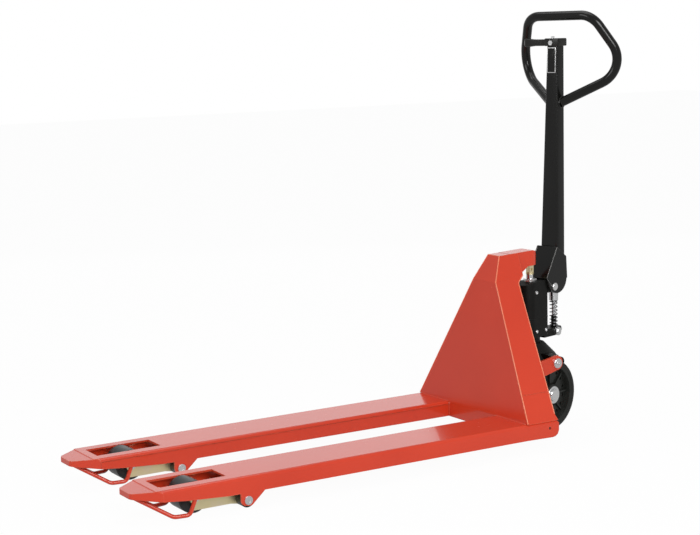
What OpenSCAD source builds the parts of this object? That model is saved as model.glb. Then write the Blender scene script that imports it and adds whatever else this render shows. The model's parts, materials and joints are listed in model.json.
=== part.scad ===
// Hand pallet truck: two forks on load rollers, a tapered mast, a steered pump head and a tilting handle.
// Millimetres, +Z up, +X towards the operator. Rest pose: forks lowered, pump head steered to one side.

/* [Forks] */
// Length of a fork from its tip to the load face
fork_len = 1150; // [900:10:1400]
// Width over both forks
overall_w = 520; // [480:5:680]
// Width of one fork
fork_w = 150; // [145:1:180]
// Height of the fork tops when lowered
fork_h = 80; // [78:1:90]
// Sheet thickness of a fork
fork_t = 5; // [4:0.5:6]
// Radius of the folded edges along a fork
fork_r = 9; // [7:0.5:14]
// Width of the opening above the load roller
window_w = 76; // [70:1:90]

/* [Load rollers] */
// Diameter of a load roller
roller_d = 80; // [74:1:82]
// Width of a load roller
roller_w = 70; // [50:1:72]
// Distance from the load face to the load roller's axle
roller_x = 984; // [900:1:1100]
// Distance from the load face to the swing frame's pin
swing_x = 857; // [800:1:900]
// Height of the swing frame's pin
swing_z = 20; // [18:0.5:24]
// Length of the lever that the push rod works on
swing_lever = 42; // [36:0.5:44]

/* [Mast] */
// Sheet thickness of the mast
mast_t = 6; // [5:0.5:8]
// Height of the fold in the front plate
mast_fold_z = 440; // [400:5:460]
// Half width of the mast at the fold
mast_fold_y = 53; // [45:1:60]
// Height of the front edge of the head
mast_top_z = 509; // [490:1:520]

/* [Lift linkage] */
// Full lift of the forks
lift = 115; // [80:1:120]
// Height of the torsion shaft
shaft_z = 115; // [105:1:120]
// Distance from the load face to the torsion shaft
shaft_x = 45; // [40:1:50]

/* [Pump head] */
// Distance from the load face to the steering axis
steer_x = 212; // [200:1:230]
// Steering angle at rest
steer_angle = 14; // [-30:1:30]
// Diameter of a steering wheel
wheel_d = 200; // [170:5:200]
// Width of a steering wheel
wheel_w = 50; // [40:1:50]
// Distance from the middle to the inner face of a steering wheel
wheel_in = 33; // [30:1:36]
// Distance from the steering axis to the handle pin
pivot_r = 67; // [60:1:72]
// Height of the handle pin
pivot_z = 401; // [380:1:410]
// Distance from the steering axis to the pump plunger
plunger_r = 110; // [104:1:114]
// Plunger travel for one radian of handle tilt
cam_rate = 32; // [26:1:34]

/* [Handle] */
// Height of the top of the stem
stem_top = 1101; // [1000:1:1150]
// Diameter of the loop's tube
loop_d = 27; // [22:0.5:28]
// Half width of the loop at its lower corners
loop_half = 191; // [150:1:200]

/* [View] */
// Which sub-part to draw

/* [Hidden] */
$fn = 64;
// Middle of the whole length, so that the origin is below it
mid_x = -346.3;
fork_y = (overall_w - fork_w) / 2;
// The fork tops step down a little under the mast
seat_z = fork_h - 0.3;
roller_r = roller_d / 2;
wheel_r = wheel_d / 2;
play = 0.05;
red = [0.83, 0.19, 0.07];
black = [0.06, 0.06, 0.06];
grey = [0.22, 0.22, 0.22];
zinc = [0.78, 0.66, 0.28];
steel = [0.72, 0.73, 0.74];

swing_pin = [-swing_x, swing_z];
roller_pin = [-roller_x, roller_r];
// Angles of the swing frame at rest and with the forks raised
swing_arm = norm(roller_pin - swing_pin);
swing_a0 = asin((roller_r - swing_z) / swing_arm);
swing_a1 = asin((roller_r - swing_z - lift) / swing_arm);
swing_half = (swing_a0 - swing_a1) / 2;
swing_knee = swing_pin + swing_lever * [sin(swing_half), cos(swing_half)];

shaft = [shaft_x, shaft_z];
trunnion = [steer_x, 202];
elbow = [125, 182];
rock = trunnion - shaft;
rock_half = (atan2(rock[1], rock[0]) - asin((rock[1] - lift) / norm(rock))) / 2;
rod_lever = swing_lever * sin(swing_half) / sin(rock_half);
rod_pin = shaft + rod_lever * [sin(rock_half), -cos(rock_half)];

pivot = [pivot_r, pivot_z];
pad_z = 381;
tilt_max = 70;

function dir(a) = [cos(a), sin(a)];
function unit(v) = v / norm(v);
// Half width of the mast at height z
function mast_y(z) = z < mast_fold_z
    ? overall_w / 2 - (z - seat_z) * (overall_w / 2 - mast_fold_y) / (mast_fold_z - seat_z)
    : mast_fold_y - (z - mast_fold_z) * (mast_fold_y - 26.5) / (mast_top_z - mast_fold_z);
// Middle of the leaning stem at height z
function stem_r(z) = 109.5 + (z - 545) * 0.0308;
function stem_y(z) = min(30.9, 18.7 + (1048 - z) * 0.02167);

module placed() translate([-mid_x, 0, 0]) children();
module steered() placed() translate([steer_x, 0, 0]) rotate([0, 0, steer_angle]) children();
module on_fork(side) placed() translate([0, side * fork_y, 0]) children();
// A side-view outline (x and z) carried from y0 to y1
module across(y0, y1) translate([0, y1, 0]) rotate([90, 0, 0]) linear_extrude(y1 - y0) children();
// A front-view outline (y and z) carried from x0 to x1
module along(x0, x1) translate([x0, 0, 0]) rotate([90, 0, 90]) linear_extrude(x1 - x0) children();
// The same plate on both sides, from y0 to y1 out from the middle
module both(y0, y1) {
  across(y0, y1) children();
  across(-y1, -y0) children();
}
// A round pin across the machine at p, from y0 to y1
module pin(p, r, y0, y1) translate([p[0], y1, p[1]]) rotate([90, 0, 0]) cylinder(r = r, h = y1 - y0);

// Flat link with round ends
module link(a, b, ra, rb) {
  t = atan2(b[1] - a[1], b[0] - a[0]);
  k = acos((ra - rb) / norm(b - a));
  e = 0.985;
  translate(a) circle(ra);
  translate(b) circle(rb);
  polygon([a + e * ra * dir(t + k), b + e * rb * dir(t + k),
           b + e * rb * dir(t - k), a + e * ra * dir(t - k)]);
}

// Upright slot below p
module upright_slot(p, r, drop) {
  translate(p) circle(r);
  translate(p - [0, drop]) circle(r);
  translate(p - [r, drop]) square([2 * r, drop]);
}

// Straight round bar from a to b
module bar(a, b, r) {
  w = unit(b - a);
  u = unit(cross(w, abs(w[2]) < 0.9 ? [0, 0, 1] : [0, 1, 0]));
  v = cross(w, u);
  multmatrix([[u[0], v[0], w[0], a[0]], [u[1], v[1], w[1], a[1]], [u[2], v[2], w[2], a[2]], [0, 0, 0, 1]])
    cylinder(r = r, h = norm(b - a));
}

// Straight bars between the points p, with a ball on each inner point
module knee_bar(p, r) {
  for (i = [0 : len(p) - 2]) bar(p[i], p[i + 1], r);
  for (i = [1 : len(p) - 2]) translate(p[i]) sphere(r + 0.1);
}

// Setback of the bend at corner i
function setback(p, bend, i) = bend[i] == 0 ? 0
    : bend[i] * tan(acos(unit(p[i] - p[i - 1]) * unit(p[i + 1] - p[i])) / 2);

// Round bar through the corners p, with bend radii that are zero at its ends
module bent_bar(p, bend, r) {
  for (i = [0 : len(p) - 2]) {
    d = unit(p[i + 1] - p[i]);
    bar(p[i] + d * setback(p, bend, i), p[i + 1] - d * setback(p, bend, i + 1), r);
  }
  for (i = [1 : len(p) - 2]) {
    d = unit(p[i] - p[i - 1]);
    e = unit(p[i + 1] - p[i]);
    n = unit(e - d * (e * d));
    c = p[i] - d * setback(p, bend, i) + n * bend[i];
    m = cross(d, n);
    multmatrix([[-n[0], d[0], m[0], c[0]], [-n[1], d[1], m[1], c[1]], [-n[2], d[2], m[2], c[2]], [0, 0, 0, 1]])
      rotate_extrude(angle = acos(d * e)) translate([bend[i], 0]) circle(r);
    // Thin weld collars
    translate(p[i] - d * setback(p, bend, i)) sphere(r + 0.15);
    translate(p[i] + e * setback(p, bend, i)) sphere(r + 0.15);
  }
}

// Fork section with its two upper corners rounded
module fork_section(w, h, r) {
  translate([-w / 2, 0]) square([w, h - r]);
  translate([-w / 2 + r, 0]) square([w - 2 * r, h]);
  for (s = [-1, 1]) translate([s * (w / 2 - r), h - r]) circle(r);
}

// Plan of a fork, drawn in by g on every side
module fork_plan(g) {
  w = fork_w / 2 - g;
  polygon([[-fork_len + g, -27 + g / 2], [-fork_len + 5 + g, -36 + g / 2], [-fork_len + 68 + g / 2, -w],
           [120, -w], [120, w], [-fork_len + 68 + g / 2, w], [-fork_len + 5 + g, 36 - g / 2],
           [-fork_len + g, 27 - g / 2]]);
}

module fork() {
  difference() {
    intersection() {
      across(-fork_w, fork_w)
        polygon([[-fork_len, 61.5], [-1090, 54], [-1014, 46], [-907, 39], [0, 36.5], [84, 34.5], [94, 36],
                 [102, 42], [106, 52], [106, 72], [101, 78], [99, seat_z], [-0.3, seat_z], [-0.3, 90], [-1085, 90],
                 [-1100, 78.5], [-fork_len, 75]]);
      linear_extrude(100) fork_plan(0);
      along(-fork_len - 1, 110) fork_section(fork_w, fork_h, fork_r);
    }
    intersection() {
      translate([0, 0, -1]) linear_extrude(100) fork_plan(fork_t);
      along(-fork_len, 121) fork_section(fork_w - 2 * fork_t, fork_h - fork_t, fork_r - fork_t);
      across(-fork_w, fork_w)
        polygon([[-fork_len, 0], [121, 0], [121, 90], [-1080, 90], [-1100, 73.5], [-fork_len, 70]]);
    }
    translate([-1077, -window_w / 2, 60]) cube([179, window_w, 40]);
    translate([8, -22, 60]) cube([82, 44, 40]);
    pin([75, 61], 4, -fork_w, fork_w);
  }
  difference() {
    both(fork_w / 2 - fork_t, fork_w / 2) boss_outline();
    pin(swing_pin, 9 + play, -fork_w, fork_w);
  }
}

// Lobe below the flange that holds the swing pin, its rear edge sloping up to the flange
module boss_outline() translate(swing_pin) {
  link([-6, 1], [4, 0], 14, 14.5);
  polygon([[-19.9, 1], [4, 0], [13.2, -10.9], [46, 18], [46, 21], [-19.9, 21]]);
}

// Front view of the mast, drawn in by g sideways
module mast_front(g) {
  polygon([for (z = [seat_z, mast_fold_z, 520]) [mast_y(z) - g, z],
           for (z = [520, mast_fold_z, seat_z]) [g - mast_y(z), z]]);
}

module mast_frame() {
  difference() {
    intersection() {
      along(-10, 240) mast_front(0);
      across(-300, 300)
        polygon([[0, seat_z], [50, mast_fold_z], [83, mast_top_z], [150, 512], [150, 450], [128, 432],
                 [99, fork_h + 14], [104, seat_z]]);
    }
    intersection() {
      along(-10, 240) mast_front(mast_t * 1.155);
      across(-300, 300)
        polygon([[mast_t, fork_h - 5], [50 + mast_t, mast_fold_z], [83 + mast_t * 0.8, mast_top_z - mast_t],
                 [160, 507], [160, 0], [mast_t, 0]]);
    }
  }
  // Apron between the forks
  translate([0, -overall_w / 2 + fork_w, 36]) cube([mast_t, overall_w - 2 * fork_w, seat_z - 36 + 0.01]);
  // Head over the ram
  difference() {
    intersection() {
      linear_extrude(600) {
        translate([120, -26.5]) square([80, 53]);
        translate([200, 0]) circle(26.5);
      }
      across(-60, 60) polygon([[120, 511], [203, 515], [219, 511], [240, 498], [240, 479], [222, 472], [186, 470.5],
                               [150, 445], [120, 425]]);
    }
    translate([110, -20.5, 400]) cube([80, 41, 107]);
  }
}

module shaft_brackets() {
  difference() {
    both(132, 142) {
      translate(shaft) circle(28);
      polygon([[16, seat_z], [86, seat_z], [70, shaft_z + 5], [20, shaft_z + 5]]);
    }
    pin(shaft, 18 + play, -200, 200);
  }
}

module skid_rods() {
  for (f = [-1, 1], s = [-1, 1]) translate([0, f * fork_y, 0])
    knee_bar([[-1141, s * 23, 65], [-1061, s * 53.5, 15], [-1046, s * 58, 7.4], [-1012, s * 64, 7.4],
              [-1001, s * 64.4, 15], [-993, s * 64.6, 50]], 5.2, $fn = 32);
}

module fork_pins() {
  for (f = [-1, 1]) translate([0, f * fork_y, 0]) {
    pin(swing_pin, 9, -fork_w / 2 - 0.4, fork_w / 2 + 0.4);
    for (s = [0, 1]) mirror([0, s, 0]) pin(swing_pin, 11, fork_w / 2 + 0.4, fork_w / 2 + 2.4);
  }
}

module pin_spacers() {
  for (f = [-1, 1], s = [0, 1]) translate([0, f * fork_y, 0]) mirror([0, s, 0]) difference() {
    pin(swing_pin, 19, 43, fork_w / 2 - fork_t - 0.1);
    pin(swing_pin, 9 + play, 42, fork_w / 2);
  }
}

module lift_ram() translate([steer_x, 0, 280]) cylinder(r = 11, h = 162);

module ram_head() {
  difference() {
    translate([steer_x, 0, 442.05]) {
      cylinder(r = 11.5, h = 6);
      translate([-7.5, -8, 5]) cube([15, 16, 23.9]);
    }
    pin([steer_x, 457], 3.2, -20, 20);
  }
}

module torsion_shaft() {
  difference() {
    pin(shaft, 18, -206, 206);
    pin(shaft, 13, -210, 210);
  }
}

module rocker_arms() {
  difference() {
    both(112, 120) {
      link(trunnion, elbow, 21, 24);
      link(elbow, shaft, 24, 28);
    }
    pin(shaft, 18 + play, -130, 130);
    pin(trunnion, 8 + play, -130, 130);
  }
}

module rod_levers() {
  difference() {
    for (f = [-1, 1]) translate([0, f * fork_y, 0]) both(9, 15) link(shaft, rod_pin, 23, 12);
    pin(shaft, 18 + play, -300, 300);
    pin(rod_pin, 6 + play, -300, 300);
  }
}

module rocker_bolts() {
  for (s = [0, 1]) mirror([0, s, 0]) {
    pin(trunnion, 8, 98.5, 120.1);
    pin(trunnion, 14, 120.1, 126);
    pin(trunnion, 11.5, 126, 128);
  }
}

module rod_pins() {
  for (f = [-1, 1]) translate([0, f * fork_y, 0]) pin(rod_pin, 6, -17, 17);
}

module push_rod() {
  front = swing_knee + [26, 0];
  bar([rod_pin[0] - 8, 0, rod_pin[1]], [front[0] - 4, 0, front[1]], 8);
  difference() {
    across(-7, 7) translate(rod_pin) circle(13);
    across(-20, 20) upright_slot(rod_pin, 6.4, 3.8);
  }
  difference() {
    translate([swing_knee[0] - 17, -12, 46]) cube([48, 24, 25]);
    translate([swing_knee[0] - 6.4, -20, swing_knee[1] - 6.4]) cube([12.8, 40, 40]);
  }
}

module swing_frame() {
  difference() {
    both(36.5, 42.5) {
      link(roller_pin, swing_pin, 15, 16);
      translate([-991, 9.5]) square([130, 28]);
      link(swing_knee, swing_pin, 11, 16);
    }
    pin(swing_pin, 9 + play, -50, 50);
    pin(swing_knee, 6 + play, -50, 50);
    pin(roller_pin, 10 + play, -50, 50);
  }
  across(-36.6, 36.6) polygon([[-936, 24], [-905, 60], [-899, 55], [-930, 19]]);
}

module roller_axle() {
  pin(roller_pin, 10, -44.5, 44.5);
  pin(swing_knee, 6, -44, 44);
}

module load_roller() {
  w = roller_w / 2;
  translate([roller_pin[0], 0, roller_pin[1]]) rotate([90, 0, 0]) rotate_extrude()
    polygon([[10 + play, -w - 0.5], [17, -w - 0.5], [17, 4 - w], [25, 4 - w], [25, -w], [roller_r - 3, -w],
             [roller_r, 3 - w], [roller_r, w - 3], [roller_r - 3, w], [25, w], [25, w - 4], [17, w - 4],
             [17, w + 0.5], [10 + play, w + 0.5]]);
}

module exit_roller() {
  difference() {
    pin(swing_pin, 19.4, -33, 33);
    pin(swing_pin, 9 + play, -50, 50);
  }
}

module bearing_housing() {
  slot = [trunnion[0] + norm(rock) - rock[0], trunnion[1]];
  difference() {
    union() {
      translate([steer_x, 0, 0]) rotate_extrude()
        polygon([[28 + play, 203.1], [75, 203.1], [75, 207], [71, 213], [46, 239], [39, 246], [28 + play, 246]]);
      both(60, 110) polygon([[200, 206], [226, 206], [226, 222], [200, 222]]);
      both(98, 110) link(trunnion, slot, 14, 14);
      both(98, 110) polygon([[198, 200], [226, 200], [226, 222], [198, 222]]);
    }
    pin([trunnion[0], trunnion[1] + 0.8], 9.4, -200, 200);
    pin([slot[0], slot[1] + 0.8], 9.4, -200, 200);
    for (s = [-1, 1]) translate([trunnion[0], s * 105 - 15, trunnion[1] - 8.6]) cube([slot[0] - trunnion[0], 30, 18.8]);
    translate([steer_x, 0, 190]) cylinder(r = 50, h = 13);
  }
}

module thrust_ring() {
  translate([steer_x, 0, 196.6]) difference() {
    cylinder(r = 32.4, h = 6.4);
    translate([0, 0, -1]) cylinder(r = 28.6, h = 9);
  }
}

module pump_body() {
  difference() {
    union() {
      intersection() {
        across(-30, 30) polygon([[-42, 262], [52, 262], [52, 420], [34, 424], [-15, 422.5], [-42, 414]]);
        linear_extrude(500) {
          translate([-13, 0]) circle(29);
          translate([-13, -29]) square([53, 58]);
          translate([40, -18]) square([12, 36]);
          for (y = [-17, 17]) translate([40, y]) circle(12);
        }
      }
      translate([0, 0, 196.5]) cylinder(r = 28, h = 66);
      translate([40, -20, 253]) cube([78, 40, 23]);
      translate([plunger_r, 0, 253]) cylinder(r = 20, h = 23);
      translate([plunger_r, -11, 254]) cube([21, 22, 21]);
      translate([plunger_r, 0, 275]) cylinder(r = 7.5, h = 31);
      both(16, 29) {
        translate(pivot) circle(16);
        translate([45, pivot_z - 16]) square([pivot_r - 45, 32]);
      }
    }
    translate([0, 0, 270]) cylinder(r = 11 + play, h = 200);
    translate([0, 0, 412]) cylinder(r = 17, h = 30);
    translate([plunger_r, 0, 258]) cylinder(r = 5.5 + play, h = 100);
    pin(pivot, 8 + play, -50, 50);
  }
}

module wheel_carrier() {
  difference() {
    union() {
      across(-25, 25) link([0, 160], [0, wheel_r], 30, 34);
      translate([0, 0, 165]) cylinder(r = 32, h = 31.4);
      pin([0, wheel_r], 20, 0.6 - wheel_in, wheel_in - 0.6);
    }
    pin([0, wheel_r], 10 + play, -60, 60);
  }
}

module gland_nut() {
  translate([0, 0, 412.05]) difference() {
    union() {
      cylinder(r = 16.9, h = 16);
      translate([0, 0, 12]) cylinder(r = 19, h = 6, $fn = 6);
    }
    translate([0, 0, -1]) cylinder(r = 11 + play, h = 30);
  }
}

module wheel_axle() pin([0, wheel_r], 10, -wheel_in - wheel_w - 1, wheel_in + wheel_w + 1);

module axle_nuts() {
  y = wheel_in + wheel_w;
  for (s = [0, 1]) mirror([0, s, 0]) difference() {
    union() {
      pin([0, wheel_r], 17, y + 0.2, y + 1.8);
      pin([0, wheel_r], 14, y + 1.8, y + 5.2);
    }
    pin([0, wheel_r], 10 + play, y - 1, y + 1.1);
  }
}

module valve_plugs() {
  translate([98, -20.05, 264.5]) rotate([90, 0, 0]) {
    cylinder(r = 12, h = 8);
    cylinder(r = 7, h = 11, $fn = 6);
  }
  translate([131.05, 0, 264.5]) rotate([0, 90, 0]) {
    cylinder(r = 8, h = 9);
    cylinder(r = 10, h = 5, $fn = 6);
  }
  translate([-13, 0, 0]) pin([0, 300], 7, 29.05, 35);
}

module release_valve() {
  translate([80, 20.05, 264]) rotate([-90, 0, 0]) cylinder(r = 7, h = 8);
  across(28, 31.1) link([80, 264], [112, 300], 8, 6);
}

module tyre(s) {
  translate([0, s * (wheel_in + wheel_w / 2), wheel_r]) rotate([90, 0, 0]) rotate_extrude()
    polygon([[87, -wheel_w / 2], [95, -wheel_w / 2], [98.6, -wheel_w / 2 + 2], [wheel_r, -wheel_w / 2 + 6],
             [wheel_r, wheel_w / 2 - 6], [98.6, wheel_w / 2 - 2], [95, wheel_w / 2], [87, wheel_w / 2]]);
}

module wheel_hub(s) {
  w = wheel_w / 2;
  translate([0, s * (wheel_in + w), wheel_r]) rotate([90, 0, 0]) difference() {
    union() {
      rotate_extrude() polygon([[10 + play, -w + 0.2], [26, -w + 0.2], [30, -w + 4], [34, -7], [74, -7], [79, -w + 3],
                                [86.95, -w + 1], [86.95, w - 1], [79, w - 3], [74, 7], [34, 7], [30, w - 4], [26, w - 0.2],
                                [10 + play, w - 0.2]]);
      for (a = [0 : 45 : 315]) rotate(a) translate([28, -2.5, -13]) cube([50, 5, 26]);
    }
    for (a = [11.25 : 22.5 : 349]) rotate(a) translate([66, 0, -30]) cylinder(r = 4.5, h = 60);
  }
}

module pump_plunger() {
  translate([plunger_r, 0, 298]) cylinder(r = 5.5, h = 69);
  translate([plunger_r, 0, 366.05]) cylinder(r = 14, h = pad_z - 366.15);
}

module spring_seat() {
  translate([plunger_r, 0, 353]) difference() {
    cylinder(r = 13.5, h = 13);
    translate([0, 0, -1]) cylinder(r = 5.5 + play, h = 20);
  }
}

// Coil of round wire, its centre line climbing evenly with the angle
module plunger_spring() {
  turns = 7;
  steps = 24;
  sides = 10;
  wire = 1.6;
  coil = 10.4;
  z0 = 278;
  z1 = 351;
  n = turns * steps;
  pts = [for (i = [0 : n], j = [0 : sides - 1])
    let (a = i * 360 / steps, b = j * 360 / sides, q = coil + wire * cos(b))
    [plunger_r + q * cos(a), q * sin(a), z0 + (z1 - z0) * i / n + wire * sin(b)]];
  walls = [for (i = [0 : n - 1], j = [0 : sides - 1]) let (k = (j + 1) % sides)
    [i * sides + j, (i + 1) * sides + j, (i + 1) * sides + k, i * sides + k]];
  ends = [[for (j = [0 : sides - 1]) j], [for (j = [sides - 1 : -1 : 0]) n * sides + j]];
  polyhedron(pts, concat(walls, ends), convexity = 10);
}

module handle_yoke() {
  difference() {
    union() {
      both(31, 36) {
        polygon([[82, 514], [125, 483], [129, 420], [60, 400], [32, 428]]);
        translate([83, 423]) circle(43);
      }
      across(-36, 36) polygon([[82, 514], [87, 514], [87, 508], [37.5, 428], [32, 428]]);
    }
    pin(pivot, 8 + play, -60, 60);
  }
}

module yoke_pin() {
  pin(pivot, 8, -37, 37);
  for (s = [0, 1]) mirror([0, s, 0]) pin(pivot, 11, 36.1, 40);
}

// Cam whose face is the involute that pushes the plunger evenly as the handle tilts
module pump_cam() {
  h = pivot_z - pad_z;
  difference() {
    across(-12, 12) translate(pivot) polygon(concat(
      [for (a = [tilt_max : -2.5 : 0]) let (d = h + cam_rate * a * PI / 180)
        [cam_rate * cos(a) + d * sin(a), cam_rate * sin(a) - d * cos(a)]],
      [for (a = [-75 : -12.5 : -200]) 14 * dir(a)], [[22, 38.95], [56, 38.95]]));
    pin(pivot, 8 + play, -20, 20);
  }
}

module stem_solid(g, z0, z1) {
  intersection() {
    along(60, 200)
      polygon([for (z = [z0, 485, z1]) [stem_y(z) - g, z], for (z = [z1, 485, z0]) [g - stem_y(z), z]]);
    across(-60, 60)
      polygon([for (z = [z0, z1]) [stem_r(z) - 17.7 + g, z], for (z = [z1, z0]) [stem_r(z) + 17.7 - g, z]]);
  }
}

module handle_stem() {
  difference() {
    stem_solid(0, 440, stem_top);
    stem_solid(3, 430, stem_top + 10);
    translate([90, 0, 1097]) rotate([0, 90, 0]) cylinder(r = 4 + play, h = 80);
  }
}

module handle_loop() {
  difference() {
    bent_bar([[116, 0, 917], [221, loop_half, 1018.5], [147, 112, 1173], [147, -112, 1173], [221, -loop_half, 1018.5],
              [116, 0, 917]], [0, 75, 58, 58, 75, 0], loop_d / 2, $fn = 40);
    along(0, 400) polygon([for (z = [900, 950]) [stem_y(z), z], for (z = [950, 900]) [-stem_y(z), z]]);
  }
}

module stem_plate() {
  across(-15, 15)
    polygon([for (z = [1010, 1084]) [stem_r(z) - 17.7, z], for (z = [1084, 1010]) [stem_r(z) - 18.9, z]]);
}

module lever_bolt() {
  translate([0, 0, 1097]) rotate([0, 90, 0]) {
    translate([0, 0, 101]) cylinder(r = 7, h = 4);
    translate([0, 0, 104]) cylinder(r = 4, h = 46);
    translate([0, 0, 148]) cylinder(r = 7.5, h = 5, $fn = 6);
  }
}

module control_lever() {
  difference() {
    union() {
      translate([105.2, -24, 1088]) cube([2.5, 48, 22]);
      translate([145.2, -24, 1088]) cube([2.5, 48, 22]);
      translate([105.2, -24, 1107]) cube([42.5, 48, 3]);
      translate([105.2, 24, 1088]) cube([42.5, 3, 22]);
      translate([114, 26, 1091]) cube([24, 72, 18]);
      translate([126, 98, 1086]) cylinder(r = 12, h = 24);
    }
    translate([90, 0, 1097]) rotate([0, 90, 0]) cylinder(r = 4 + play, h = 80);
    for (y = [7, 13]) translate([126.7, y, 1100]) cylinder(r = 3.8, h = 20);
    translate([122.9, 7, 1100]) cube([7.6, 6, 20]);
  }
}

module release_rod() {
  bar([stem_r(450), 10, 450], [126.7, 10, 1112], 3);
  translate([126.7, 10, 1111.4]) cylinder(r = 5, h = 4, $fn = 6);
}

color(red) on_fork(-1) fork();  // fork_left
color(red) on_fork(1) fork();  // fork_right
color(red) placed() mast_frame();
color(red) placed() shaft_brackets();
color(red) placed() skid_rods();
color(steel) placed() fork_pins();
color(steel) placed() pin_spacers();
color(steel) placed() lift_ram();
color(zinc) placed() ram_head();
color(red) placed() torsion_shaft();
color(red) placed() rocker_arms();
color(red) placed() rod_levers();
color(steel) placed() rocker_bolts();
color(steel) placed() rod_pins();
color(zinc) on_fork(-1) push_rod();  // push_rod_left
color(zinc) on_fork(1) push_rod();  // push_rod_right
color(zinc) on_fork(-1) swing_frame();  // swing_frame_left
color(zinc) on_fork(1) swing_frame();  // swing_frame_right
color(steel) on_fork(-1) roller_axle();  // roller_axle_left
color(steel) on_fork(1) roller_axle();  // roller_axle_right
color(grey) on_fork(-1) load_roller();  // load_roller_left
color(grey) on_fork(1) load_roller();  // load_roller_right
color(black) on_fork(-1) exit_roller();  // exit_roller_left
color(black) on_fork(1) exit_roller();  // exit_roller_right
color(black) placed() bearing_housing();
color(steel) placed() thrust_ring();
color(black) steered() pump_body();
color(black) steered() wheel_carrier();
color(steel) steered() gland_nut();
color(steel) steered() wheel_axle();
color(steel) steered() axle_nuts();
color(steel) steered() valve_plugs();
color(black) steered() release_valve();
color(black) steered() tyre(-1);  // tyre_left
color(black) steered() tyre(1);  // tyre_right
color(black) steered() wheel_hub(-1);  // wheel_hub_left
color(black) steered() wheel_hub(1);  // wheel_hub_right
color(steel) steered() pump_plunger();
color(steel) steered() spring_seat();
color(steel) steered() plunger_spring();
color(black) steered() handle_yoke();
color(steel) steered() yoke_pin();
color(black) steered() pump_cam();
color(black) steered() handle_stem();
color(black) steered() handle_loop();
color(steel) steered() stem_plate();
color(steel) steered() lever_bolt();
color(black) steered() control_lever();
color(steel) steered() release_rod();
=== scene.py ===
import json
import math

import bpy
import numpy as np
from mathutils import Matrix, Vector


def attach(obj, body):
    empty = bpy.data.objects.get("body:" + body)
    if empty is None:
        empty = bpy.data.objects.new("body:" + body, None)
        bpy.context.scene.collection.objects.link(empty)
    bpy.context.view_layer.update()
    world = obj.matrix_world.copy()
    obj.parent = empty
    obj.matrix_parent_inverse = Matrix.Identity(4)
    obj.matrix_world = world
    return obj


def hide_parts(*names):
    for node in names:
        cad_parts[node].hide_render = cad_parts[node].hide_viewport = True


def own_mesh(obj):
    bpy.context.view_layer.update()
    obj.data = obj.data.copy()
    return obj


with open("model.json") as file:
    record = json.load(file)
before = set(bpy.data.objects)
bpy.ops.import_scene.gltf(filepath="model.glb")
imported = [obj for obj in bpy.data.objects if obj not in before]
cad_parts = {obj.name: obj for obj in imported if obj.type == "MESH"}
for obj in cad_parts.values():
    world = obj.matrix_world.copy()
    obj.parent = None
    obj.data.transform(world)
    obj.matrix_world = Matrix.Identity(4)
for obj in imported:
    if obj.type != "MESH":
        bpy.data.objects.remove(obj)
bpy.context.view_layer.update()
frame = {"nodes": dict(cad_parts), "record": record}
nodes = frame["nodes"]
print("frame loaded:", len(nodes), "nodes")

# Places that the pieces share, in metres, in the frame of the CAD
machine = {"shift": 0.3463, "steerX": 0.212, "steerAngle": math.radians(14.0), "forkY": 0.185}


def placed(points):
    # machine coordinates, with the load face at x = 0, moved to the frame
    return np.asarray(points, float) + [machine["shift"], 0.0, 0.0]


def steered(points):
    # x along the handle's heading, y across it, z up: turned by the steering angle about the steering axis
    p = np.asarray(points, float)
    c, s = math.cos(machine["steerAngle"]), math.sin(machine["steerAngle"])
    x = machine["shift"] + machine["steerX"] + p[..., 0] * c - p[..., 1] * s
    return np.stack([x, p[..., 0] * s + p[..., 1] * c, p[..., 2]], axis=-1)


def gridFaces(rows, columns, closeRows, closeColumns):
    # quads between neighbouring grid points, wrapping round where a direction is closed
    down = np.arange(rows if closeRows else rows - 1)
    along = np.arange(columns if closeColumns else columns - 1)
    i, j = np.meshgrid(down, along, indexing="ij")
    i, j = i.ravel(), j.ravel()
    k, l = (i + 1) % rows, (j + 1) % columns
    return np.stack([i * columns + j, k * columns + j, k * columns + l, i * columns + l], axis=1)


def tubeParts(rings):
    # rings[n, m, 3] is a closed section carried along a path; both ends are shut with a fan to their middle
    n, m = rings.shape[:2]
    points = np.concatenate([rings.reshape(-1, 3), rings[0].mean(0)[None], rings[-1].mean(0)[None]])
    faces = gridFaces(n, m, False, True).tolist()
    j = np.arange(m)
    k = (j + 1) % m
    faces += np.stack([np.full(m, n * m), j, k], axis=1).tolist()
    faces += np.stack([np.full(m, n * m + 1), (n - 1) * m + k, (n - 1) * m + j], axis=1).tolist()
    return points, faces


def piece(name, parts, slot, body, smooth=40.0, finish=None):
    # joins the parts into one mesh; each face is turned to point out of its own part
    points, faces = [], []
    base = 0
    for p, f in parts:
        points.append(p)
        faces += [[v + base for v in face] for face in f]
        base += len(p)
    mesh = bpy.data.meshes.new(name)
    mesh.from_pydata(np.concatenate(points).tolist(), [], faces)
    mesh.update()
    obj = bpy.data.objects.new(name, mesh)
    bpy.context.scene.collection.objects.link(obj)
    bpy.context.view_layer.objects.active = obj
    obj.select_set(True)
    bpy.ops.object.mode_set(mode="EDIT")
    bpy.ops.mesh.select_all(action="SELECT")
    bpy.ops.mesh.normals_make_consistent(inside=False)
    bpy.ops.object.mode_set(mode="OBJECT")
    bpy.ops.object.shade_smooth_by_angle(angle=math.radians(smooth))
    obj.select_set(False)
    mesh.materials.append(finishes[finish or slot])
    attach(obj, body)
    return obj


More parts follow.
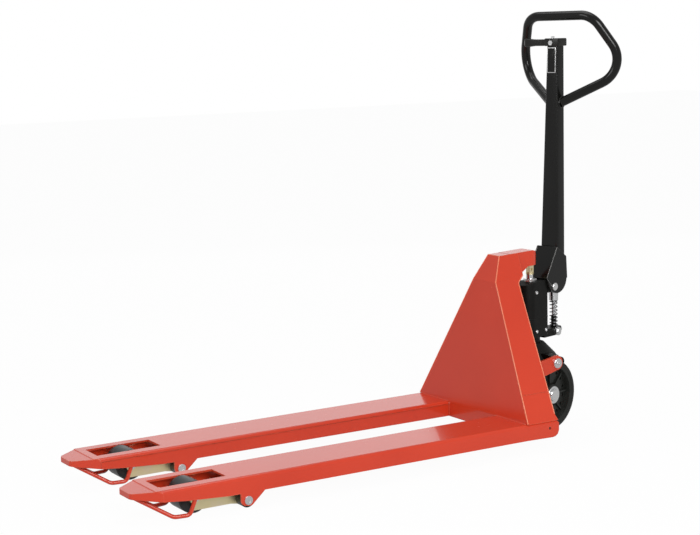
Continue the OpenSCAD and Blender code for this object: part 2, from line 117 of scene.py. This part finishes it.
def roundedPath(corners, radii, step=0.004):
    # straight runs joined by circular arcs: an arc of radius q sits q * tan(turn / 2) back from its corner
    corners = np.asarray(corners, float)
    out = [corners[0][None]]
    for i in range(1, len(corners) - 1):
        a = corners[i] - corners[i - 1]
        b = corners[i + 1] - corners[i]
        a, b = a / np.linalg.norm(a), b / np.linalg.norm(b)
        turn = math.acos(np.clip(a @ b, -1, 1))
        q = radii[i]
        start = corners[i] - a * q * math.tan(turn / 2)
        inward = (b - a * (a @ b)) / np.linalg.norm(b - a * (a @ b))
        t = np.linspace(0, turn, max(4, int(q * turn / step)))[:, None]
        out.append(start + inward * q * (1 - np.cos(t)) + a * q * np.sin(t))
    out.append(corners[-1][None])
    path = np.concatenate(out)
    # even spacing by arc length
    s = np.concatenate([[0], np.cumsum(np.linalg.norm(np.diff(path, axis=0), axis=1))])
    even = np.linspace(0, s[-1], max(8, int(s[-1] / step)))
    return np.stack([np.interp(even, s, path[:, c]) for c in range(3)], axis=1)


def sweepRings(path, radius, side, sides=24):
    # a circle of the given radius stands across the path; side is a direction the path never runs along
    path = np.asarray(path, float)
    t = np.gradient(path, axis=0)
    t /= np.linalg.norm(t, axis=1)[:, None]
    u = np.cross(t, np.asarray(side, float))
    u /= np.linalg.norm(u, axis=1)[:, None]
    v = np.cross(t, u)
    a = np.linspace(0, 2 * np.pi, sides, endpoint=False)
    r = np.broadcast_to(np.asarray(radius, float), (len(path),))[:, None, None]
    return path[:, None] + r * (np.cos(a)[None, :, None] * u[:, None] + np.sin(a)[None, :, None] * v[:, None])


def weldRings(path, radius, side, pitch=0.0045):
    # a bead whose radius swells with every pass of the torch: radius * (1 + 0.16 * |sin|), tapered at both ends
    s = np.concatenate([[0], np.cumsum(np.linalg.norm(np.diff(path, axis=0), axis=1))])
    swell = 1 + 0.16 * np.abs(np.sin(np.pi * s / pitch))
    taper = np.sqrt(np.clip(np.minimum(s, s[-1] - s) / 0.006, 0.05, 1))
    return sweepRings(path, radius * swell * taper, side, 10)


def straight(a, b, step=0.0012):
    a, b = np.asarray(a, float), np.asarray(b, float)
    n = max(4, int(np.linalg.norm(b - a) / step))
    return a + (b - a) * np.linspace(0, 1, n)[:, None]


def revolved(profile, centre, axis, segments=96):
    # profile pairs are (distance from the axis, distance along it); the curve is spun about the axis
    profile = np.asarray(profile, float)
    w = np.asarray(axis, float) / np.linalg.norm(axis)
    u = np.cross(w, [0, 0, 1.0]) if abs(w[2]) < 0.9 else np.cross(w, [0, 1.0, 0])
    u /= np.linalg.norm(u)
    v = np.cross(w, u)
    a = np.linspace(0, 2 * np.pi, segments, endpoint=False)
    ring = np.cos(a)[:, None] * u + np.sin(a)[:, None] * v
    points = np.asarray(centre, float) + profile[None, :, 0, None] * ring[:, None] + profile[None, :, 1, None] * w
    closed = profile[:, 0].min() > 1e-6
    faces = gridFaces(segments, len(profile), True, closed).tolist()
    return points.reshape(-1, 3), faces


def boxSection(halfWide, halfDeep, corner, arc=6):
    # a rectangle with round corners, as offsets (wide, deep)
    a = np.linspace(0, np.pi / 2, arc)
    quarter = np.stack([np.cos(a), np.sin(a)], axis=1) * corner
    out = []
    for k, (sx, sy) in enumerate(((1, 1), (-1, 1), (-1, -1), (1, -1))):
        c, s = math.cos(k * np.pi / 2), math.sin(k * np.pi / 2)
        turned = quarter @ np.array([[c, s], [-s, c]])
        out.append(turned + [sx * (halfWide - corner), sy * (halfDeep - corner)])
    return np.concatenate(out)


class Wire:
    # a socket that adds Math nodes when it is used in an expression
    def __init__(self, finish, socket):
        self.finish, self.socket = finish, socket

    def maths(self, operation, first, second=0.0):
        return self.finish.add("ShaderNodeMath", {"operation": operation}, {0: first, 1: second})

    def __add__(self, other):
        return self.maths("ADD", self, other)

    __radd__ = __add__

    def __mul__(self, other):
        return self.maths("MULTIPLY", self, other)

    __rmul__ = __mul__

    def __sub__(self, other):
        return self.maths("SUBTRACT", self, other)

    def __rsub__(self, other):
        return self.maths("SUBTRACT", other, self)

    def clipped(self, low, high):
        return self.finish.add("ShaderNodeMapRange", {"clamp": True}, {0: self, 1: low, 2: high})


class Finish:
    # one material with a Principled shader
    def __init__(self, name, **constants):
        self.material = bpy.data.materials.new(name)
        self.material.use_nodes = True
        self.tree = self.material.node_tree
        self.shader = self.tree.nodes["Principled BSDF"]
        for key, value in constants.items():
            self.shader.inputs[key.replace("_", " ")].default_value = value
        self.place = self.add("ShaderNodeTexCoord", {}, {}, "Object")

    def add(self, kind, settings=None, values=None, out=0):
        node = self.tree.nodes.new(kind)
        for key, value in (settings or {}).items():
            if key == "stops":
                ramp = node.color_ramp
                while len(ramp.elements) < len(value):
                    ramp.elements.new(0.5)
                for element, (position, colour) in zip(ramp.elements, value):
                    element.position, element.color = position, (*colour, 1.0)
            else:
                setattr(node, key, value)
        for key, value in (values or {}).items():
            if isinstance(value, Wire):
                self.tree.links.new(value.socket, node.inputs[key])
            else:
                node.inputs[key].default_value = value
        return Wire(self, node.outputs[out])

    def noise(self, scale, detail=2.0, rough=0.5, stretch=None):
        place = self.place
        if stretch:
            place = self.add("ShaderNodeMapping", {}, {"Vector": place, "Scale": stretch})
        values = {"Vector": place, "Scale": scale, "Detail": detail, "Roughness": rough}
        return self.add("ShaderNodeTexNoise", {}, values)

    def blend(self, factor, a, b):
        value = lambda c: c if isinstance(c, Wire) else (*c, 1.0)
        return self.add("ShaderNodeMix", {"data_type": "RGBA"}, {0: factor, 6: value(a), 7: value(b)}, 2)

    def edges(self, radius):
        # 0 on flat faces, rising to 1 where a corner is nearer than the radius
        soft = self.add("ShaderNodeBevel", {"samples": 4}, {"Radius": radius})
        flat = self.add("ShaderNodeNewGeometry", {}, {}, "Normal")
        along = self.add("ShaderNodeVectorMath", {"operation": "DOT_PRODUCT"}, {0: soft, 1: flat}, "Value")
        return soft, (1.0 - along).clipped(0.01, 0.22)

    def bump(self, height, distance, strength=1.0, normal=None):
        values = {"Height": height, "Distance": distance, "Strength": strength}
        if normal:
            values["Normal"] = normal
        return self.add("ShaderNodeBump", {}, values)

    def join(self, **links):
        for key, wire in links.items():
            self.tree.links.new(wire.socket, self.shader.inputs[key.replace("_", " ")])
        return self.material


def paintFinish(name, colour, deep, wornAndHighlight, roughness, peel, coat, shine):
    f = Finish(name, Coat_Weight=coat, Coat_Roughness=0.05, Specular_IOR_Level=shine)
    soft, edge = f.edges(0.0030)
    broad = f.noise(3.5, 3.0)
    fine = f.noise(240.0, 2.0)
    scuff = f.noise(30.0, 6.0, 0.7).clipped(0.64, 0.82)
    tone = f.blend(broad.clipped(0.3, 0.75), deep, colour)
    # edges turn to a lighter tone: partly worn paint, partly a painted highlight along the edges
    rubAndHighlight = edge * (f.noise(26.0, 4.0, 0.65).clipped(0.30, 0.70) * 0.5 + 0.3)
    tone = f.blend(rubAndHighlight, tone, wornAndHighlight)
    rough = broad * 0.05 + scuff * 0.10 + fine * 0.03 + (roughness - 0.04)
    return f.join(Base_Color=tone, Roughness=rough, Normal=f.bump(fine + scuff * 0.3, peel, 0.35, soft))


def metalFinish(name, colour, tint, roughness, grain, stretch):
    f = Finish(name, Metallic=1.0)
    soft, edge = f.edges(0.0006)
    lines = f.noise(grain, 3.0, 0.6, stretch)
    cloud = f.noise(18.0, 3.0)
    tone = f.blend(cloud.clipped(0.35, 0.7), colour, tint)
    # edges lighten toward near white: part wear, part painted highlight
    tone = f.blend(edge * 0.4, tone, (0.95, 0.95, 0.95))
    rough = lines * 0.14 + cloud * 0.10 + (roughness - 0.10)
    return f.join(Base_Color=tone, Roughness=rough, Normal=f.bump(lines, 0.00012, 0.25, soft))


def castFinish(name, colour, high):
    f = Finish(name, Specular_IOR_Level=0.15, Coat_Weight=0.05, Coat_Roughness=0.25)
    soft, edge = f.edges(0.0022)
    sand = f.noise(420.0, 3.0, 0.6)
    lump = f.noise(45.0, 3.0)
    tone = f.blend(lump.clipped(0.3, 0.8), colour, high)
    # edges lighten toward grey: part wear, part painted highlight
    tone = f.blend(edge * 0.3, tone, (0.09, 0.09, 0.088))
    return f.join(Base_Color=tone, Roughness=sand * 0.12 + lump * 0.14 + 0.30,
                  Normal=f.bump(sand * 0.6 + lump, 0.0006, 0.45, soft))


def mouldedFinish(name, colour, dusty, roughness, grain, dust):
    f = Finish(name, Specular_IOR_Level=0.35)
    soft, edge = f.edges(0.0010)
    fine = f.noise(grain, 3.0, 0.6)
    patch = f.noise(22.0, 5.0, 0.65).clipped(0.42, 0.78)
    tone = f.blend(patch * dust, colour, dusty)
    tone = f.blend(edge * 0.35, tone, dusty)
    return f.join(Base_Color=tone, Roughness=fine * 0.12 + patch * 0.16 + (roughness - 0.06),
                  Normal=f.bump(fine, 0.00025, 0.4, soft))


def zincFinish(name):
    # yellow passivate: gold that drifts to pink and green in clouds
    f = Finish(name, Metallic=1.0)
    soft, edge = f.edges(0.0008)
    cloud = f.noise(14.0, 4.0, 0.6)
    stops = [(0.25, (0.96, 0.84, 0.50)), (0.45, (0.98, 0.85, 0.50)),
             (0.60, (0.98, 0.84, 0.58)), (0.78, (0.96, 0.90, 0.62))]
    drift = f.add("ShaderNodeValToRGB", {"stops": stops}, {0: cloud})
    lines = f.noise(160.0, 3.0, 0.6, (1.0, 6.0, 6.0))
    # edges lighten toward a pale gold: part wear, part painted highlight
    tone = f.blend(edge * 0.4, drift, (0.94, 0.89, 0.66))
    return f.join(Base_Color=tone, Roughness=lines * 0.16 + cloud * 0.16 + 0.22,
                  Normal=f.bump(lines, 0.0001, 0.3, soft))


finishes = {
    # the third colour of each paint is the tone its edges turn to: part wear, part painted highlight
    "red_paint": paintFinish("redPaint", (0.66, 0.050, 0.017), (0.60, 0.042, 0.014), (0.92, 0.26, 0.13),
                             0.24, 0.00010, 0.45, 0.35),
    "black_paint": paintFinish("blackPaint", (0.0046, 0.0046, 0.0040), (0.0032, 0.0032, 0.0028),
                               (0.10, 0.10, 0.094), 0.20, 0.00008, 0.36, 0.22),
    # a lighter red for the mast's folds: a painted highlight
    "folded_edge_highlight": paintFinish("foldedEdgeHighlight", (0.90, 0.24, 0.12), (0.84, 0.18, 0.085), (0.95, 0.40, 0.26),
                               0.22, 0.00006, 0.6, 0.5),
    # a grey for the yoke's edge beads: a painted highlight on the black cheeks
    "yoke_edge_highlight": paintFinish("yokeEdgeHighlight", (0.16, 0.16, 0.15), (0.07, 0.07, 0.066), (0.30, 0.30, 0.29),
                               0.22, 0.00006, 0.5, 0.5),
    "black_casting": castFinish("blackCasting", (0.0050, 0.0050, 0.0044), (0.008, 0.008, 0.007)),
    "zinc_plate": zincFinish("zincPlate"),
    "bright_steel": metalFinish("brightSteel", (0.86, 0.87, 0.88), (0.93, 0.93, 0.92), 0.26, 220.0, (1.0, 1.0, 5.0)),
    "spring_steel": metalFinish("springSteel", (0.20, 0.20, 0.21), (0.28, 0.28, 0.28), 0.26, 260.0, (1.0, 1.0, 4.0)),
    "chromed_rod": metalFinish("chromedRod", (0.88, 0.89, 0.90), (0.93, 0.93, 0.94), 0.12, 300.0, (1.0, 1.0, 9.0)),
    "black_rubber": mouldedFinish("blackRubber", (0.012, 0.012, 0.011), (0.042, 0.040, 0.037), 0.46, 520.0, 0.5),
    "hub_plastic": mouldedFinish("hubPlastic", (0.013, 0.014, 0.012), (0.040, 0.040, 0.037), 0.30, 380.0, 0.40),
    "roller_plastic": mouldedFinish("rollerPlastic", (0.022, 0.025, 0.026), (0.075, 0.078, 0.080), 0.30, 380.0, 0.40),
    "lever_plastic": mouldedFinish("leverPlastic", (0.012, 0.012, 0.011), (0.040, 0.040, 0.038), 0.20, 600.0, 0.25),
}
slotOf = {s["node"]: s["material_slot"] for s in frame["record"]["subparts"]}
for name, node in nodes.items():
    node.data.materials.clear()
    node.data.materials.append(finishes[slotOf[name]])
print("finishes on the CAD nodes:", len(finishes))

handle = {
    "tube": 0.0135,
    "loop": [[0.116, 0, 0.917], [0.221, 0.191, 1.0185], [0.147, 0.112, 1.173], [0.147, -0.112, 1.173],
             [0.221, -0.191, 1.0185], [0.116, 0, 0.917]],
    "bends": [0, 0.075, 0.058, 0.058, 0.075, 0],
}


# the stem's section is twice "deep" by at most twice "wide"; it leans back and narrows as it rises
stem = {"deep": 0.0177, "corner": 0.005, "wide": 0.0309, "top": 0.0187, "topZ": 1.048, "taper": 0.02167,
        "footX": 0.1095, "footZ": 0.545, "lean": 0.0308, "low": 0.440, "high": 1.1005}


def stemMiddle(z):
    return stem["footX"] + (z - stem["footZ"]) * stem["lean"]


def stemHalf(z):
    return np.minimum(stem["wide"], stem["top"] + (stem["topZ"] - z) * stem["taper"])


loopPath = roundedPath(handle["loop"], handle["bends"])
# the legs stop at the stem's side walls
inside = np.abs(loopPath[:, 1]) > stemHalf(loopPath[:, 2]) - 0.003
loopPath = loopPath[inside | (loopPath[:, 2] > 1.0)]
loopRings = sweepRings(loopPath, handle["tube"], (1.0, 0, 0.45), 32)
gripLoop = piece("grip_loop", [tubeParts(steered(loopRings))], "black_paint", "handle")
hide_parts("handle_loop")

stemZ = np.concatenate([np.linspace(stem["low"], 0.485, 6), np.linspace(0.50, stem["high"], 60)])
rings = []
for z in stemZ:
    ring = boxSection(float(stemHalf(z)), stem["deep"], stem["corner"])
    rings.append(np.stack([stemMiddle(z) + ring[:, 1], ring[:, 0], np.full(len(ring), z)], axis=1))
stemTube = piece("stem_tube", [tubeParts(steered(np.array(rings)))], "black_paint", "handle", 30)
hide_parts("handle_stem")

# weld beads round both legs of the loop, where they meet the side walls
beads = []
a = np.linspace(0, 2 * np.pi, 90)
legWeld = {"z": 0.931, "round": handle["tube"] + 0.0003, "bead": 0.0021}
legFoot = np.array(handle["loop"][0])
legWay = np.array(handle["loop"][1]) - legFoot
wall = float(stemHalf(legWeld["z"])) + 0.0004
for s in (-1, 1):
    centre = (legFoot + legWay * wall / legWay[1]) * [1, s, 1]
    # the tube's outline on the wall is a circle drawn out along the leg's slope
    circle = np.stack([np.cos(a), np.zeros_like(a), np.sin(a)], axis=1) * legWeld["round"]
    lean = np.array([legWay[0], 0, legWay[2]]) / np.hypot(legWay[0], legWay[2])
    draw = np.linalg.norm(legWay) / legWay[1] - 1
    circle += (circle @ lean)[:, None] * lean * draw
    circle[:, 0] = np.minimum(circle[:, 0], stemMiddle(0.93) + stem["deep"] - 0.0005 - centre[0])
    beads.append(tubeParts(steered(weldRings(centre + circle, legWeld["bead"], (0, 1.0, 0)))))
piece("loop_welds", beads, "black_paint", "handle")
print("handle made")

lever = {"middle": [0.126, 1.0980], "arm": [0.024, 0.110], "cap": [0.12645, 1.099], "capHalf": [0.02125, 0.011]}
y = np.linspace(0, 1, 40)
armY = lever["arm"][0] + (lever["arm"][1] - lever["arm"][0]) * y
# the arm flares into a paddle: half height 9.5 mm rising to 12.5 mm, half depth 12 mm easing to 9.5 mm
flare = np.clip((y - 0.55) / 0.35, 0, 1)
flare = flare * flare * (3 - 2 * flare)
tip = np.sqrt(np.clip(1 - np.clip((y - 0.88) / 0.12, 0, 1) ** 2, 0.12, 1))
armRings = []
for k in range(len(y)):
    ring = boxSection((0.0120 - 0.0025 * flare[k]) * tip[k], (0.0095 + 0.0030 * flare[k]) * tip[k], 0.0042 * tip[k])
    armRings.append(np.stack([lever["middle"][0] + ring[:, 0], np.full(len(ring), armY[k]),
                              lever["middle"][1] + ring[:, 1]], axis=1))
# the cap is a rounded channel over the stem's top
capY = np.array([-0.0240, -0.0236, -0.0225, 0.0225, 0.0236, 0.0240])
capIn = np.array([0.0016, 0.0004, 0.0, 0.0, 0.0004, 0.0016])
capRings = []
for k in range(len(capY)):
    g = capIn[k]
    outer = boxSection(lever["capHalf"][0] - g, lever["capHalf"][1] - g, 0.0035)
    capRings.append(np.stack([lever["cap"][0] + outer[:, 0], np.full(len(outer), capY[k]),
                              lever["cap"][1] + outer[:, 1]], axis=1))
leverParts = [tubeParts(steered(np.array(rings))) for rings in (armRings, capRings)]
leverPiece = piece("hand_lever", leverParts, "lever_plastic", "grip_lever", 35)
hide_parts("control_lever")

# plain plate with a pale rim on the stem's front wall
plate = {"half": 0.0150, "low": 1.012, "high": 1.084, "rim": 0.002}


def frontPlate(halfWide, low, high, proud, corner):
    # a thin plate that lies on the stem's leaning front wall, its outline drawn in a little at the face
    ring = boxSection(halfWide, (high - low) / 2, corner)
    middle = (low + high) / 2
    z = middle + ring[:, 1]
    layers = [np.stack([stemMiddle(z) - stem["deep"] - depth, ring[:, 0] * k, middle + (z - middle) * k], axis=1)
              for depth, k in ((0.0, 1.0), (proud - 0.0002, 1.0), (proud, 0.985))]
    return tubeParts(steered(np.array(layers)))


border = frontPlate(plate["half"], plate["low"], plate["high"], 0.0009, 0.002)
rim = piece("plate_rim", [border], "bright_steel", "handle", 30)
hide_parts("stem_plate")
inset = plate["rim"]
panel = frontPlate(plate["half"] - inset, plate["low"] + inset, plate["high"] - inset, 0.0012, 0.0015)
piece("plate_panel", [panel], "black_paint", "handle", 30)
print("lever and plate made")

pump = {"plunger": 0.110, "coil": 0.0104, "wire": 0.0016, "seat": 0.2764, "low": 0.2780, "high": 0.3510,
        "turns": 8.2, "pressed": 0.487}
t = np.linspace(0, 1, 560)
# the coil climbs evenly between two closed end turns
closedEnds = np.interp(t, [0, 0.11, 0.89, 1.0], [0, 0.035, 0.965, 1.0])
angle = 2 * np.pi * pump["turns"] * t
coil = np.stack([pump["plunger"] + pump["coil"] * np.cos(angle), pump["coil"] * np.sin(angle),
                 pump["low"] + (pump["high"] - pump["low"]) * closedEnds], axis=1)
wire = tubeParts(steered(sweepRings(coil, pump["wire"], (0, 0, 1.0), 12)))
spring = piece("return_spring", [wire], "bright_steel", "steer_head", finish="spring_steel")
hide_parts("plunger_spring")
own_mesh(spring)

# the casting's parting line follows the block: a round load side, straight walls and two rounded corners
casting = {"roundX": -0.013, "round": 0.0291, "cornerX": 0.040, "cornerY": 0.017, "corner": 0.0121, "seamZ": 0.316,
           "seam": 0.0009, "wall": 0.0292, "screws": [(-0.008, 0.279), (0.034, 0.279), (-0.008, 0.392)]}
a = np.linspace(np.pi / 2, 3 * np.pi / 2, 40)
q = np.linspace(-np.pi / 2, 0, 8)
cornerX = casting["cornerX"] + casting["corner"] * np.cos(q)
cornerY = casting["cornerY"] - casting["corner"] * np.sin(q)
x = np.concatenate([casting["roundX"] + casting["round"] * np.cos(a), cornerX, cornerX[::-1]])
y = np.concatenate([casting["round"] * np.sin(a), -cornerY, cornerY[::-1]])
seam = np.stack([x, y, np.full(len(x), casting["seamZ"])], axis=1)
seam = np.concatenate([seam, seam[:1]])
even = np.linspace(0, len(seam) - 1, 240)
dense = np.stack([np.interp(even, np.arange(len(seam)), seam[:, c]) for c in range(3)], axis=1)
partingLine = tubeParts(steered(sweepRings(dense, casting["seam"], (0, 0, 1.0), 8)))
piece("parting_line", [partingLine], "black_casting", "steer_head")

# socket screws in both walls of the block; profiles of small turned parts are (radius, height)
socketHead = [(0.0, 0.0), (0.0052, 0.0), (0.0052, 0.0022), (0.0044, 0.0032), (0.0024, 0.0032), (0.0022, 0.0014),
              (0.0, 0.0014)]
screws = []
for s in (-1, 1):
    way = steered([0, s, 0]) - steered([0, 0, 0])
    for x, z in casting["screws"]:
        screws.append(revolved(socketHead, steered([x, s * casting["wall"], z]), way, 24))
piece("casting_screws", screws, "bright_steel", "steer_head", 30)

# rounded front edges of the yoke's cheeks, in a grey that is a painted highlight on the black cheeks
yoke = {"cheek": 0.0354, "edge": [[0.0815, 0.513], [0.0328, 0.4284], [0.0590, 0.4018]], "bead": 0.0012,
        "pin": [0.067, 0.0402, 0.401]}
lips = []
for s in (-1, 1):
    corners = steered([[x, s * yoke["cheek"], z] for x, z in yoke["edge"]])
    lips.append(tubeParts(sweepRings(roundedPath(corners, [0, 0.004, 0], 0.003), yoke["bead"], (0.3, 1.0, 0), 12)))
piece("yoke_edges", lips, "black_paint", "handle", finish="yoke_edge_highlight")

# snap rings on the handle pin
snapRing = [(0.0112, -0.0024), (0.0112, 0.0), (0.0098, 0.0013), (0.0060, 0.0018), (0.0, 0.0018)]
rings = []
for s in (-1, 1):
    c = steered(np.array(yoke["pin"]) * [1, s, 1])
    way = steered([0, s, 0]) - steered([0, 0, 0])
    rings.append(revolved(snapRing, c, way, 48))
piece("pin_heads", rings, "bright_steel", "handle", 25)
print("pump head details made")

wheel = {"half": 0.025, "radius": 0.100, "centre": 0.058}


def tyreProfile():
    # tread with a slight crown, round shoulders and a stepped side wall down to the rim
    w, r = wheel["half"], wheel["radius"]
    a = np.linspace(0, np.pi / 2, 7)
    x = np.linspace(-0.8, 0.8, 13)
    tread = np.stack([r - 0.0004 * x ** 2, x * (w - 0.004) / 0.8 * 0.98], axis=1)
    right = np.stack([r - 0.0045 + 0.0041 * np.cos(a), w - 0.0048 + 0.0046 * np.sin(a)], axis=1)
    wall = np.array([[0.0945, w], [0.0935, w - 0.0008], [0.0925, w], [0.0890, w], [0.0872, w - 0.0012]])
    left = (right * [1, -1])[::-1]
    return np.concatenate([(wall * [1, -1])[::-1], left, tread, right, wall])


shieldRing = [(0.0175, 0.0247), (0.0245, 0.0247), (0.0252, 0.0254), (0.0245, 0.0261), (0.0180, 0.0257)]
for name, s in (("left", -1), ("right", 1)):
    centre = steered([0, s * wheel["centre"], wheel["radius"]])
    way = steered([0, s, 0]) - steered([0, 0, 0])
    tread = revolved(tyreProfile(), centre, way, 160)
    tyre = piece("tyre_" + name + "_tread", [tread], "black_rubber", "wheel_" + name, 50)
    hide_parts("tyre_" + name)
    shield = [revolved([(r, k * h) for r, h in shieldRing], centre, way, 72) for k in (-1, 1)]
    piece("bearing_shield_" + name, shield, "bright_steel", "wheel_" + name, 30)
print("steering wheels made")

# bent rods below each fork's tip, with y measured from the middle of the fork
skid = {"bar": 0.0052, "bends": [0, 0.026, 0.014, 0],
        "corners": [[-1.141, 0.023, 0.065], [-1.050, 0.058, 0.0074], [-1.010, 0.0640, 0.0074],
                    [-0.993, 0.0646, 0.050]]}
skids = []
for f in (-1, 1):
    for s in (-1, 1):
        corners = np.array(skid["corners"]) * [1, s, 1] + [0, f * machine["forkY"], 0]
        path = roundedPath(corners, skid["bends"], 0.002)
        skids.append(tubeParts(placed(sweepRings(path, skid["bar"], (0, 1.0, 0.15), 20))))
skidPiece = piece("skid_bars", skids, "red_paint", "chassis")
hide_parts("skid_rods")

# beads along the load face on each fork, below each side plate, and up the corner of the apron
welding = {"load": ([-0.0012, 0.112, 0.0803], [-0.0012, 0.252, 0.0803], 0.0022, (0, 0, 1.0)),
           "side": ([0.003, 0.2562, 0.0800], [0.100, 0.2562, 0.0800], 0.0018, (0, 0, 1.0)),
           "apron": ([-0.0008, 0.1088, 0.040], [-0.0008, 0.1088, 0.078], 0.0018, (1.0, 0, 0))}
welds = []
for s in (-1, 1):
    for start, end, bead, side in welding.values():
        line = straight(np.array(start) * [1, s, 1], np.array(end) * [1, s, 1])
        welds.append(tubeParts(placed(weldRings(line, bead, side))))
piece("frame_welds", welds, "red_paint", "chassis")

# a seam lies level across each side plate; "fall" is how much the plate's half width drops with height
sideSeam = {"z": 0.152, "front": 0.0116, "rear": 0.1035, "half": 0.260, "baseZ": 0.0797, "fall": 0.5746,
            "bead": 0.0006}
seams = []
for s in (-1, 1):
    z = sideSeam["z"]
    y = s * (sideSeam["half"] - (z - sideSeam["baseZ"]) * sideSeam["fall"] + 0.0001)
    line = straight([sideSeam["front"], y, z], [sideSeam["rear"], y, z], 0.004)
    seams.append(tubeParts(placed(sweepRings(line, sideSeam["bead"], (0, 0, 1.0), 8))))
piece("side_seams", seams, "red_paint", "chassis")

# folded edges: the bend of the sheet stands 0.6 mm proud of the flat faces and is a lighter red, a painted highlight
# along the fold
bend = {"radius": 0.0017, "inset": 0.0011}
k = bend["inset"]
folds = []
for s in (-1, 1):
    front = [[k, s * (0.2595 - k), 0.0815], [0.050 + k, s * (0.053 - k), 0.4397],
             [0.083 + k, s * (0.0265 - k), 0.5085]]
    rear = [[0.0992 - k, s * (0.2508 - k), 0.0960], [0.128 - k, s * (0.0576 - k), 0.4320],
            [0.150 - k, s * (0.0492 - k), 0.4500]]
    for corners in (front, rear):
        fold = sweepRings(roundedPath(corners, [0, 0.012, 0]), bend["radius"], (1.0, 0, 0.4), 14)
        folds.append(tubeParts(placed(fold)))
brow = straight([0.083 + k, -0.0262, 0.5080], [0.083 + k, 0.0262, 0.5080], 0.004)
folds.append(tubeParts(placed(sweepRings(brow, bend["radius"], (1.0, 0, 0), 14))))
piece("mast_folds", folds, "red_paint", "chassis", finish="folded_edge_highlight")

# turned faces on the swing pins' heads, and grease nipples in the rocker bolts
swingPin = {"x": -0.857, "out": 0.0774, "z": 0.020}
rockerBolt = {"out": 0.128, "z": 0.202}
pinFace = [(0.0110, -0.0004), (0.0110, 0.0), (0.0104, 0.0006), (0.0052, 0.0007), (0.0048, 0.0001), (0.0, 0.0001)]
nipple = [(0.0, 0.0), (0.0048, 0.0), (0.0044, 0.0018), (0.0028, 0.0022), (0.0024, 0.0042), (0.0030, 0.0052),
          (0.0018, 0.0064), (0.0, 0.0066)]
pinFaces, nipples = [], []
for f in (-1, 1):
    for s in (-1, 1):
        centre = placed([swingPin["x"], f * machine["forkY"] + s * swingPin["out"], swingPin["z"]])
        pinFaces.append(revolved(pinFace, centre, (0, s, 0), 40))
    centre = placed([machine["steerX"], f * rockerBolt["out"], rockerBolt["z"]])
    nipples.append(revolved(nipple, centre, (0, f, 0), 28))
piece("pin_faces", pinFaces, "bright_steel", "chassis", 25)
piece("grease_nipples", nipples, "bright_steel", "rocker", 30)
print("frame details made")

# how bright the floor shows to the camera and in mirrors, its half width, the lamps in watts, the sky's light
studio = {"white": 0.965, "mirrored": 0.47, "floor": 18.0,
          "key": 117.0, "fill": 34.0, "top": 42.0, "back": 15.0, "sky": 0.42}

floorMesh = bpy.data.meshes.new("floor")
h = studio["floor"]
floorMesh.from_pydata([(-h, -h, 0), (h, -h, 0), (h, h, 0), (-h, h, 0)], [], [(0, 1, 2, 3)])
floor = bpy.data.objects.new("floor", floorMesh)
bpy.context.scene.collection.objects.link(floor)
paper = Finish("paper", Base_Color=(0.86, 0.86, 0.86, 1.0), Roughness=0.9, Specular_IOR_Level=0.1)
glow = paper.add("ShaderNodeEmission", {}, {"Color": (1.0, 1.0, 1.0, 1.0), "Strength": 1.0})
dim = paper.add("ShaderNodeEmission", {}, {"Color": (1.0, 1.0, 1.0, 1.0), "Strength": studio["mirrored"]})
seen = paper.add("ShaderNodeLightPath", {}, {}, "Is Camera Ray") * studio["white"]
mirrored = paper.add("ShaderNodeLightPath", {}, {}, "Is Glossy Ray")
mixed = paper.add("ShaderNodeMixShader", {}, {0: seen, 1: Wire(paper, paper.shader.outputs[0]), 2: glow})
mixed = paper.add("ShaderNodeMixShader", {}, {0: mirrored, 1: mixed, 2: dim})
paper.tree.links.new(mixed.socket, paper.tree.nodes["Material Output"].inputs["Surface"])
floorMesh.materials.append(paper.material)

world = bpy.data.worlds.new("studio")
bpy.context.scene.world = world
world.use_nodes = True
sky = world.node_tree
back = sky.nodes["Background"]
path = sky.nodes.new("ShaderNodeLightPath")
level = sky.nodes.new("ShaderNodeMapRange")
level.inputs["To Min"].default_value = studio["sky"]
level.inputs["To Max"].default_value = 1.0
sky.links.new(path.outputs["Is Camera Ray"], level.inputs["Value"])
sky.links.new(level.outputs[0], back.inputs["Strength"])
back.inputs["Color"].default_value = (1.0, 1.0, 1.0, 1.0)


def softbox(name, place, aim, size, energy):
    light = bpy.data.lights.new(name, "AREA")
    light.shape, light.size, light.size_y, light.energy = "RECTANGLE", size[0], size[1], energy
    obj = bpy.data.objects.new(name, light)
    obj.location = place
    obj.rotation_euler = (Vector(aim) - Vector(place)).to_track_quat("-Z", "Y").to_euler()
    bpy.context.scene.collection.objects.link(obj)


softbox("keyLight", (-0.6, -4.2, 2.3), (0.1, 0, 0.4), (2.4, 2.0), studio["key"])
softbox("fillLight", (-4.0, 0.4, 2.2), (0.2, 0, 0.4), (2.2, 1.8), studio["fill"])
softbox("backLight", (2.0, 3.8, 1.2), (0, 0, 0.3), (5.0, 1.6), studio["back"])
softbox("topLight", (0.2, 0.6, 4.2), (0, 0, 0), (3.0, 3.0), studio["top"])

camera = {"azimuth": math.radians(-31.56), "elevation": math.radians(8.16), "roll": math.radians(-1.35),
          "place": (-2.3093, -3.6844, 1.1391), "lens": 84.176}
a, e, r = camera["azimuth"], camera["elevation"], camera["roll"]
backward = Vector((math.sin(a) * math.cos(e), -math.cos(a) * math.cos(e), math.sin(e)))
right = Vector((math.cos(a), math.sin(a), 0))
up = backward.cross(right)
right, up = right * math.cos(r) + up * math.sin(r), up * math.cos(r) - right * math.sin(r)
lens = bpy.data.cameras.new("camera")
lens.lens, lens.sensor_width, lens.clip_end = camera["lens"], 36.0, 100.0
shot = bpy.data.objects.new("camera", lens)
shot.matrix_world = Matrix.Translation(camera["place"]) @ Matrix((right, up, backward)).transposed().to_4x4()
bpy.context.scene.collection.objects.link(shot)
bpy.context.scene.camera = shot
bpy.context.scene.view_settings.view_transform = "Standard"
print("studio made")
